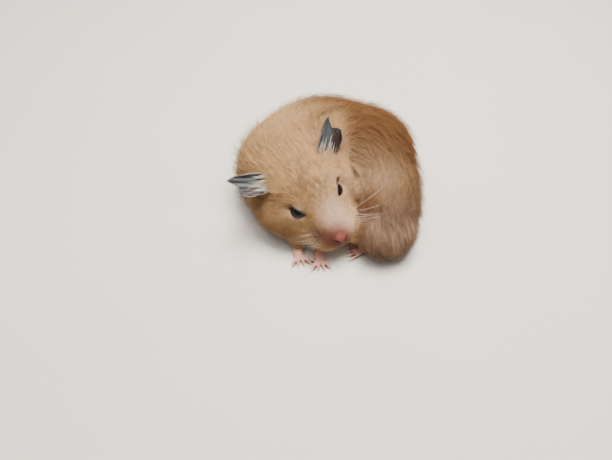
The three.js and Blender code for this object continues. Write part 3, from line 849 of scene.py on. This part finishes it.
def lid_ring(sign):
    """The two lids as one closed rim round the almond: points on the ball, rings outwards."""
    centre, axes = eye_frame(sign)
    AROUND = 72
    turn = np.linspace(0, 2 * math.pi, AROUND, endpoint=False)
    length, height = ALMOND
    x = length * np.cos(turn)
    y = height * np.sign(np.sin(turn)) * np.abs(np.sin(turn)) ** 1.2
    outwards = unit(np.stack([x / length ** 2, y / height ** 2 + 1e-6], axis=1))
    rings = []
    for beyond, lift in ((0.0, -0.3), (0.0, 0.03), (0.07, 0.14), (0.3, 0.23), (0.6, 0.14),
                         (0.95, -0.25), (0.85, -0.8), (0.3, -1.0)):
        px, py = x + outwards[:, 0] * beyond, y + outwards[:, 1] * beyond
        on_ball = np.sqrt(np.maximum(EYE_RADIUS ** 2 - px ** 2 - py ** 2, 0.02))
        point = unit(np.stack([px, py, on_ball], axis=1)) * (EYE_RADIUS + lift)
        rings.append(centre + point @ axes.T)
    return np.concatenate(rings), AROUND, len(rings)


# Thin dark skin kept moist by the eye, with a soft gleam along its edge.
lid_skin = mottled("dark_lid_rim", "#241a19", "#4a3834", 2500, {"Roughness": 0.4})


def add_lids(sign, name):
    """Lids as a mesh of quads; the first and last rings lie inside ball and hide."""
    points, around, count = lid_ring(sign)
    faces = []
    for ring in range(count):
        below = ring * around
        above = ((ring + 1) % count) * around
        for i in range(around):
            j = (i + 1) % around
            faces.append((below + i, below + j, above + j, above + i)[::sign])
    mesh = bpy.data.meshes.new(name)
    mesh.from_pydata([tuple(p) for p in points * MM], [], faces)
    lids = add_object(name, mesh)
    turn_faces_out(lids)
    bpy.ops.object.shade_smooth()
    lids.data.materials.append(lid_skin)
    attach(lids, "root")


add_lids(1, "lids_left")
add_lids(-1, "lids_right")

# ---------------------------------------------------------------- how the coat lies
# Hair leans away from the nose over the whole head, then runs on round the curled body
# from nape to rump, sinks down the flanks, and follows each leg, ear and the tail outwards.
CURL_AT = np.array([2.0, -4.0])      # the crease that the animal is curled about
THIGH_LIE = np.array([0.15, -0.8, -0.6])
round_body = unit(hide[:, :2] - CURL_AT)
steep = 1 - np.abs(outward[:, 2])
along_body = np.stack([round_body[:, 1], -round_body[:, 0], -0.55 * steep], axis=1)
away_from_nose = unit(face - np.array([19, 0, -4]))
lie = along_body + (away_from_nose @ head_axes.T - along_body) * on_head[:, None]
on_right_thigh = on_whole_skin(ease(1 - (distance_to("hindleg_right", hide[kind == BODY]) - 2) / 4), 0)
for place, way in ((np.maximum(on_thigh, on_right_thigh) * (1 - on_head), THIGH_LIE), (on_tail, TAIL_LIE)):
    lie += (way - lie) * place[:, None]
for sign, which in ((1, EAR_L), (-1, EAR_R)):
    _, axes = ear_frame(sign)
    lie[kind == which] = axes[:, 1]
for sign in (1, -1):         # round the eyes the hair turns aside
    centre, axes = eye_frame(sign)
    aside = unit(hide - centre)
    share = on_head * ease(1 - np.abs(eye_gap) / 2.5) * (face[:, 1] * sign > 0) * 0.6
    lie += (aside - lie) * share[:, None]
DOWN_FORELEG = np.array([0.2, -0.75, -0.5])
lie += (DOWN_FORELEG - lie) * on_leg[:, None]


def along_hide(vectors, normals):
    """The vectors pressed flat onto the hide, with length 1."""
    return unit(vectors - normals * np.sum(vectors * normals, axis=1, keepdims=True))


lie = along_hide(spread(along_hide(lie, outward), 18), outward)

ruff = near(hide, (-33, 8, 22), (17, 20, 18)) * (1 - on_head)    # the nape stands up a little
hair_length = np.interp(face[:, 0], ALONG_HEAD, (9, 8, 5.4, 3.6, 2.3, 1.5, 1.0, 0.6))
hair_length += 1.5 * under_jaw
hair_length = 9.5 + (hair_length - 9.5) * on_head
hair_length -= 2 * spread(on_thigh, 25) * (1 - on_head) + 3.5 * beside_muzzle + 0.25 * hair_length * by_ear
hair_length -= np.maximum(hair_length - 1.8, 0) * near_paw      # nothing long trails over the feet
hair_length = spread(hair_length * (1 - thin) + 1.1 * thin, 4)
hair_length = np.minimum(hair_length, 0.5 + np.maximum(eye_gap, 0) * 0.75)
hair_width = np.interp(hair_length, (0.6, 2.5, 5, 9), (0.065, 0.09, 0.11, 0.125)) * (1 - 0.4 * on_ear)
cover = np.interp(hair_length, (0.6, 2.5, 9), (2.2, 4.6, 8.8))
cover *= 1 - 0.65 * ease((-0.55 - outward[:, 2]) / 0.3) * (hide[:, 2] < 12)
cover *= (1 - 0.94 * on_ear) * (1 - ease(stub / 0.3)) * (1 - 0.5 * on_tail)
cover *= np.where(kind == PAW, 0.5 * ease((hide[:, 2] - 3) / 1.2), 1)   # fine hair on heel and wrist
cover *= ease((eye_gap - 0.3) / 0.3)
bare_nose = near(face, NOSE, (4.0, 4.0, 3.4))
cover *= 1 - ease(bare_nose * 1.5)
hairs_per_mm2 = cover / (hair_length * hair_width / 2)
coat_depth = np.minimum(depth, hair_length * 0.55)

# ---------------------------------------------------------------- coat: tufts of hair
# Each tuft is a solid tapering sliver, rooted in the hide, bent over to lie along it and
# drawn towards its neighbours so that the coat parts and locks as real fur does.
rng = np.random.default_rng(7)
corners = hide[triangles]
area = np.linalg.norm(np.cross(corners[:, 1] - corners[:, 0], corners[:, 2] - corners[:, 0]), axis=1) / 2
wanted = area * hairs_per_mm2[triangles].mean(axis=1)
tuft_count = int(wanted.sum())
home = rng.choice(len(triangles), tuft_count, p=wanted / wanted.sum())
blend = rng.random((tuft_count, 2))
over = blend.sum(axis=1) > 1
blend[over] = 1 - blend[over]
blend = np.c_[1 - blend.sum(axis=1), blend]


def at_roots(values):
    """A property of the hide at each tuft's root."""
    picked = values[triangles[home]]
    weights = blend if values.ndim == 1 else blend[:, :, None]
    return (picked * weights).sum(axis=1)


root, root_normal = at_roots(hide), unit(at_roots(outward))
length = at_roots(hair_length) * rng.uniform(0.62, 1.08, tuft_count)
rise = at_roots(coat_depth)
swing = rng.normal(0, math.radians(6.5), tuft_count)
swing += math.radians(3.5) * ripples(root, 11, 1) + math.radians(2.5) * ripples(root, 3, 2)
way = along_hide(at_roots(lie), root_normal)
way = way * np.cos(swing)[:, None] + np.cross(root_normal, way) * np.sin(swing)[:, None]
loft = rng.uniform(0.5, 1.0, tuft_count) ** 0.8 + 0.9 * rng.random(tuft_count) ** 9
loft *= 1 + 0.5 * at_roots(ruff)
of_leaf = kind[triangles[home][:, 0]] != BODY        # rooted on an ear or a paw


def over_hide(reach, height):
    """Points that far along each tuft's way, at that height over the hide below them."""
    places = root + way * reach[:, None]
    normals = root_normal.copy()
    for i in np.flatnonzero(~of_leaf):
        place, normal, _, _ = hide_surface.find_nearest(places[i])
        places[i], normals[i] = place, normal
    return places + normals * height[:, None]


arch = 0.8 * np.minimum(loft, 1) + 0.65 * np.maximum(loft - 1, 0)    # hairs that stand out bend less
middle = over_hide(length * 0.5, rise * arch)
tip = over_hide(length, rise * loft)

# Locks: every tuft leans towards the nearest of a scatter of leading tufts.
lock_gap = np.interp(length, (0.6, 3, 9), (0.6, 1.3, 2.6))
leads = np.flatnonzero(rng.random(tuft_count) < 1 / (lock_gap ** 2 * at_roots(hairs_per_mm2)))
finder = KDTree(len(leads))
for i, lead in enumerate(leads):
    finder.insert(middle[lead], i)
finder.balance()
leader = leads[[finder.find(p)[1] for p in middle]]
gather = rng.normal(0.08, 0.07, tuft_count) + 0.3 * at_roots(forehead) + 0.3 * at_roots(ruff)
gather = np.clip(gather, 0, 0.85)
gather *= np.linalg.norm(tip - tip[leader], axis=1) < 1.6 * lock_gap + 0.4
tip += (tip[leader] - tip) * gather[:, None]
middle += (middle[leader] - middle) * gather[:, None] * 0.3
for ring in (middle, tip):
    ring[:, 2] = np.maximum(ring[:, 2], 0.06)

# Colour: paler tips over deeper roots, with each lock and each tuft a little its own.
tuft_colour = at_roots(coat_colour)
ticked = at_roots(forehead) + 0.6 * at_roots(on_thigh)      # dark and pale hairs mix on forehead and thigh
lock_shade = 1 + np.clip(rng.normal(0, 1, tuft_count), -1.5, 1.5)[leader] * (0.04 + 0.2 * ticked)
shade = lock_shade * (1 + rng.normal(0, 1, tuft_count) * (0.05 + 0.11 * ticked))
shade *= 1 + 0.035 * ripples(root, 9, 5)
warm = rng.normal(0, 0.035, tuft_count)
tuft_colour = tuft_colour * shade[:, None] * np.stack([1 + warm, np.ones(tuft_count), 1 - 1.5 * warm], axis=1)
ALONG_TUFT = np.array([0.93, 1.0, 1.05])     # brightness at root, middle and tip
tuft_colour = np.clip(tuft_colour, 0.01, 0.92)
root_place = (unwrap[triangle_loops[home]] * blend[:, :, None]).sum(axis=1)
width = at_roots(hair_width) * rng.uniform(0.75, 1.25, tuft_count)


def fur():
    """Fine dry hair: each sliver reflects a little and lets some light through."""
    material, tree, output = new_material("apricot_fur")
    place = add_node(tree, "ShaderNodeTexCoord")
    marking_and_painted_light = add_node(tree, "ShaderNodeVertexColor", layer_name="marking_and_painted_light")
    brindle = add_node(tree, "ShaderNodeTexNoise", {
        "Vector": place.outputs["Object"], "Scale": 1 / (1.5 * MM), "Detail": 2})
    tint = add_node(tree, "ShaderNodeHueSaturation", {"Color": marking_and_painted_light.outputs["Color"]})
    level = add_node(tree, "ShaderNodeMapRange", {
        "Value": brindle.outputs["Fac"], "From Min": 0.3, "From Max": 0.7, "To Min": 0.9, "To Max": 1.1})
    tree.links.new(level.outputs["Result"], tint.inputs["Value"])
    hair = add_node(tree, "ShaderNodeBsdfPrincipled", {
        "Base Color": tint.outputs["Color"], "Roughness": 0.65, "Specular IOR Level": 0.2})
    glow = add_node(tree, "ShaderNodeBsdfTranslucent", {"Color": tint.outputs["Color"]})
    both = add_node(tree, "ShaderNodeMixShader", {
        "Fac": 0.45, 1: hair.outputs["BSDF"], 2: glow.outputs["BSDF"]})
    tree.links.new(both.outputs["Shader"], output.inputs["Surface"])
    return material


fur_material = fur()
PATCH = 0.003            # each tuft's patch on the unwrap, across and along


def build_slivers(name, lines, wide, facing, colours, place, material):
    """One mesh of closed three-sided slivers, pointed at both ends.

    Along each sliver run `lines`, its root, rings and tip; `wide` is its width at each ring.
    """
    count, stations = lines.shape[:2]
    levels = stations - 2
    per = 3 * levels + 2
    points = np.empty((count, per, 3))
    points[:, 0], points[:, -1] = lines[:, 0], lines[:, -1]
    tones = np.empty((count, per, 3))
    tones[:, 0], tones[:, -1] = colours[:, 0], colours[:, -1]
    roll = rng.uniform(-0.9, 0.9, count)[:, None]
    for k in range(1, levels + 1):
        tangent = unit(lines[:, k + 1] - lines[:, k - 1])
        flat = unit(np.cross(tangent, facing))
        across = flat * np.cos(roll) + np.cross(flat, tangent) * np.sin(roll)
        thick = np.cross(across, tangent)
        for corner in range(3):
            angle = math.radians(90 + 120 * corner)
            spoke = across * math.cos(angle) + 0.6 * thick * math.sin(angle)
            points[:, 3 * k - 2 + corner] = lines[:, k] + spoke * wide[:, k - 1, None] / 2
            tones[:, 3 * k - 2 + corner] = colours[:, k]

    pattern, patch = [], []
    for c in range(3):
        d = (c + 1) % 3
        u0, u1, middle = c / 3, (c + 1) / 3, (c + 0.5) / 3
        pattern.append((0, 1 + c, 1 + d))
        patch.append(((middle, 0), (u0, 1), (u1, 1)))
        for k in range(1, levels):
            a, b = 3 * k - 2, 3 * k + 1
            pattern += [(a + c, b + c, b + d), (a + c, b + d, a + d)]
            patch += [((u0, k), (u0, k + 1), (u1, k + 1)), ((u0, k), (u1, k + 1), (u1, k))]
        pattern.append((per - 4 + c, per - 1, per - 4 + d))
        patch.append(((u0, levels), (middle, levels + 1), (u1, levels)))
    pattern = np.array(pattern)
    corners_of = (np.arange(count)[:, None, None] * per + pattern).ravel()
    uv = place[:, None, None] + np.array(patch) * (PATCH, PATCH / (levels + 1))
    mesh = bpy.data.meshes.new(name)
    mesh.vertices.add(count * per)
    mesh.vertices.foreach_set("co", (points * MM).ravel())
    mesh.loops.add(len(corners_of))
    mesh.loops.foreach_set("vertex_index", corners_of.astype(np.int32))
    mesh.polygons.add(len(corners_of) // 3)
    mesh.polygons.foreach_set("loop_start", np.arange(0, len(corners_of), 3, dtype=np.int32))
    mesh.update(calc_edges=True)
    mesh.shade_smooth()
    soft = unit(np.repeat(facing, per, axis=0) * 2 + read(mesh.vertices, "normal"))
    mesh.normals_split_custom_set_from_vertices(soft)
    mesh.uv_layers.new(name="OFBake").data.foreach_set("uv", uv.ravel())
    attribute = mesh.color_attributes.new("marking_and_painted_light", "FLOAT_COLOR", "POINT")
    tones = np.clip(tones.reshape(-1, 3), 0.005, 0.95)
    attribute.data.foreach_set("color", np.c_[tones, np.ones(len(tones))].ravel())
    mesh.materials.append(material)
    piece = add_object(name, mesh)
    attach(piece, "root")


ROOT_SINKS = 0.25
seat = root - root_normal * ROOT_SINKS
seat[:, 2] = np.maximum(seat[:, 2], 0.03)


def build_coat(name, members):
    """The chosen tufts as one mesh, each bent once over the hide."""
    line = np.stack([seat[members], middle[members], tip[members]], axis=1)
    build_slivers(name, line, width[members][:, None], root_normal[members],
                  tuft_colour[members][:, None] * ALONG_TUFT[:, None], root_place[members], fur_material)


root_face = (root - head_at) @ head_axes
head_share, thin_share = at_roots(on_head), at_roots(thin)
region = np.full(tuft_count, "back", dtype="U12")
region[root[:, 0] < -6] = "nape"
region[(root[:, 0] > 12)] = "loins"
region[at_roots(on_thigh) > 0.5] = "thigh_left"
region[at_roots(on_right_thigh) > 0.5] = "thigh_right"
region[(root_normal[:, 2] < -0.5) & (root[:, 2] < 12)] = "belly"
region[head_share > 0.5] = "crown"
region[(head_share > 0.5) & (root_face[:, 2] < -5)] = "cheeks"
region[(head_share > 0.5) & (root_face[:, 0] > -4) & (root_face[:, 2] > -5)] = "forehead"
region[(head_share > 0.5) & (root_face[:, 0] > 5)] = "muzzle"
region[thin_share > 0.5] = "extremities"
MOST = 199000
for name in np.unique(region):
    members = np.flatnonzero(region == name)
    parts = math.ceil(len(members) * 6 / MOST)
    for part, share in enumerate(np.array_split(rng.permutation(members), parts)):
        build_coat(f"coat_{name}" + (f"_{part + 1}" if parts > 1 else ""), share)

# ---------------------------------------------------------------- long hair of the ears
# Whitish locks grow from the front of each ear's root and streak up over its hollow.
TUFT_WHITE = linear("#ece4d8")
skin_surface = BVHTree.FromPolygons([Vector(p) for p in hide], [tuple(t) for t in triangles.tolist()])


def place_on_unwrap(points):
    """Where the skin's unwrap has the spot of skin nearest to each point."""
    nearest = [skin_surface.find_nearest(p)[2] for p in points]
    return unwrap[triangle_loops[nearest]].mean(axis=1)


def ear_locks(sign):
    """Hairs of one ear's locks: each lock's hairs meet towards its tip."""
    LOCKS, PER_LOCK = 11, 14
    count = LOCKS * PER_LOCK
    root, axes = ear_frame(sign)
    lock = np.repeat(np.arange(LOCKS), PER_LOCK)
    at = np.linspace(-4.6, 2.8, LOCKS)[lock] + rng.normal(0, 0.4, LOCKS)[lock]
    reach = (9.5 - 0.9 * np.abs(at)) * rng.uniform(0.45, 1, LOCKS)[lock] * rng.uniform(0.6, 1.05, count)
    foot = at + rng.normal(0, 0.4, count)
    head = at * 0.96 + rng.normal(0, 0.12, count) + rng.normal(0, 0.5, LOCKS)[lock]
    start = rng.uniform(-3.2, 0.2, count)
    bow = rng.uniform(0.2, 1.1, count)
    on_leaf = EAR_THICKNESS / 2 + 0.1
    line = [cupped(foot + (head - foot) * t, start + reach * t, on_leaf + bow * math.sin(2.4 * t))
            for t in (0, 0.3, 0.65, 1)]
    line = root + np.stack(line, axis=1) @ axes.T
    shade = rng.normal(1, 0.08, count)[:, None, None] * np.array((0.7, 0.85, 1.0, 1.05))[:, None]
    wide = rng.uniform(0.07, 0.11, count)[:, None] * (1.0, 0.7)
    return line, wide, np.tile(axes[:, 2], (count, 1)), TUFT_WHITE * shade


def ear_fringe(sign):
    """Fur that rises from the head round the foot of the ear and hides where it grows out."""
    COUNT = 1500
    root, axes = ear_frame(sign)
    across = np.clip(rng.normal(0, 3.6, COUNT), -7.5, 7.5)
    start = rng.uniform(-8, -1.5, COUNT)
    face_side = np.where(rng.random(COUNT) < 0.7, 1, -1)
    foot = cupped(across, start, face_side * rng.uniform(0.5, 3.5, COUNT))
    nearest = [hide_surface.find_nearest(p) for p in root + foot @ axes.T]
    seats = np.array([tuple(place) for place, _, _, _ in nearest])
    foot = (seats - root) @ axes
    reach = rng.uniform(1.2, 5.6, COUNT) * (1 - 0.04 * np.abs(across))
    over = face_side * (EAR_THICKNESS / 2 + rng.uniform(0.15, 0.9, COUNT))
    head = cupped(across * 0.97, foot[:, 1] + reach, over)
    middle = (foot + head) / 2 + np.outer(face_side * rng.uniform(0.2, 0.8, COUNT), (0, 0, 1))
    line = np.stack([foot, middle * 0.5 + foot * 0.5, middle * 0.4 + head * 0.6, head], axis=1)
    line = root + line @ axes.T
    colour = painted(hair_colour_near(seats), TUFT_WHITE, 0.35 * (rng.random(COUNT) < 0.25))
    shade = rng.normal(1, 0.1, COUNT)[:, None, None] * np.array((0.85, 0.92, 0.98, 1.04))[:, None]
    wide = rng.uniform(0.07, 0.12, COUNT)[:, None] * (1.0, 0.75)
    normals = np.array([tuple(normal) for _, normal, _, _ in nearest])
    facing = unit(normals + 0.3 * face_side[:, None] * axes[:, 2])
    return line, wide, facing, colour[:, None] * shade


def hair_colour_near(points):
    """The coat's colour where the hide is nearest to each point."""
    nearest = [skin_surface.find_nearest(p)[2] for p in points]
    return coat_colour[triangles[nearest]].mean(axis=1)


for sign, side_name in ((1, "left"), (-1, "right")):
    for name, grow in (("locks", ear_locks), ("fringe", ear_fringe)):
        line, wide, facing, colours = grow(sign)
        build_slivers(f"ear_{name}_{side_name}", line, wide, facing, colours,
                      place_on_unwrap(line[:, 0]), fur_material)

# ---------------------------------------------------------------- whiskers
# Stiff pale hairs that taper from a thick root: four rows on each whisker pad, longer towards
# the cheek, and a few above each eye.
WHISKER_PALE = linear("#f4eadc")
BASE_WIDTH = 0.1


def whisker_lines():
    """Roots, rings and tips of all the whiskers, in millimetres."""
    SWEEP = np.array([-0.7, 0, -0.35])
    FANS = {             # each row's direction and length: the left rows spread wide, the right lie back
        1: (((1.1, 1, 0.95), 23), ((1.6, 1, 0.8), 18), ((2.6, 1, 0.55), 13), ((3, 0.4, 0.1), 9)),
        -1: (((0.1, -1, 0.35), 13), ((0, -1, 0.1), 12), ((-0.1, -1, -0.15), 10), ((-0.2, -1, -0.4), 8)),
    }
    starts, ways, lengths = [], [], []
    for sign, rows in FANS.items():
        for row, (way, long) in enumerate(rows):
            for step in range(5):
                starts.append((17 - 1.6 * step, sign * 9.5, -1.0 - 1.3 * row))
                ways.append(unit(np.array(way, float)) - (0.07 * step, 0, 0))
                lengths.append(long * (0.6 + 0.1 * step))
        for step in range(3):
            starts.append((1.5 - 1.6 * step, sign * 8, 5))
            ways.append(unit(np.array([0.1 - 0.3 * step, sign * 0.55, 0.8])))
            lengths.append(6.5 + step)
    starts = head_at + np.array(starts) @ head_axes.T
    ways = unit(np.array(ways) + rng.normal(0, 0.08, (len(ways), 3)))
    lengths = np.array(lengths) * rng.uniform(0.8, 1.1, len(ways))
    seats = np.array([tuple(hide_surface.find_nearest(p)[0]) for p in starts])
    line = [seats + ((ways * t + SWEEP * 0.22 * t * t) * lengths[:, None]) @ head_axes.T
            for t in np.linspace(-0.04, 1, 10)]
    return np.stack(line, axis=1)


line = whisker_lines()
count, stations = line.shape[:2]
on_left = np.arange(count)[:, None] < count / 2
taper = BASE_WIDTH * np.linspace(1, 0.35, stations - 2) * np.where(on_left, 1, 0.7)
# Painted shade: the right whiskers, on the side in half shade, are tinted half way to the coat's colour,
# while the left ones stay pale.
tint = painted(np.tile(coat_colour[kind == BODY].mean(axis=0), (count, 1)), WHISKER_PALE,
               np.where(on_left[:, 0], 1, 0.5))
facing = np.tile(head_axes[:, 2], (count, 1))
build_slivers("whiskers", line, taper, facing, np.repeat(tint[:, None], stations, axis=1),
              place_on_unwrap(line[:, 0]), fur_material)

size = {"cad": [list(corner) for corner in cad_box], "visual": [list(corner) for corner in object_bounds()]}
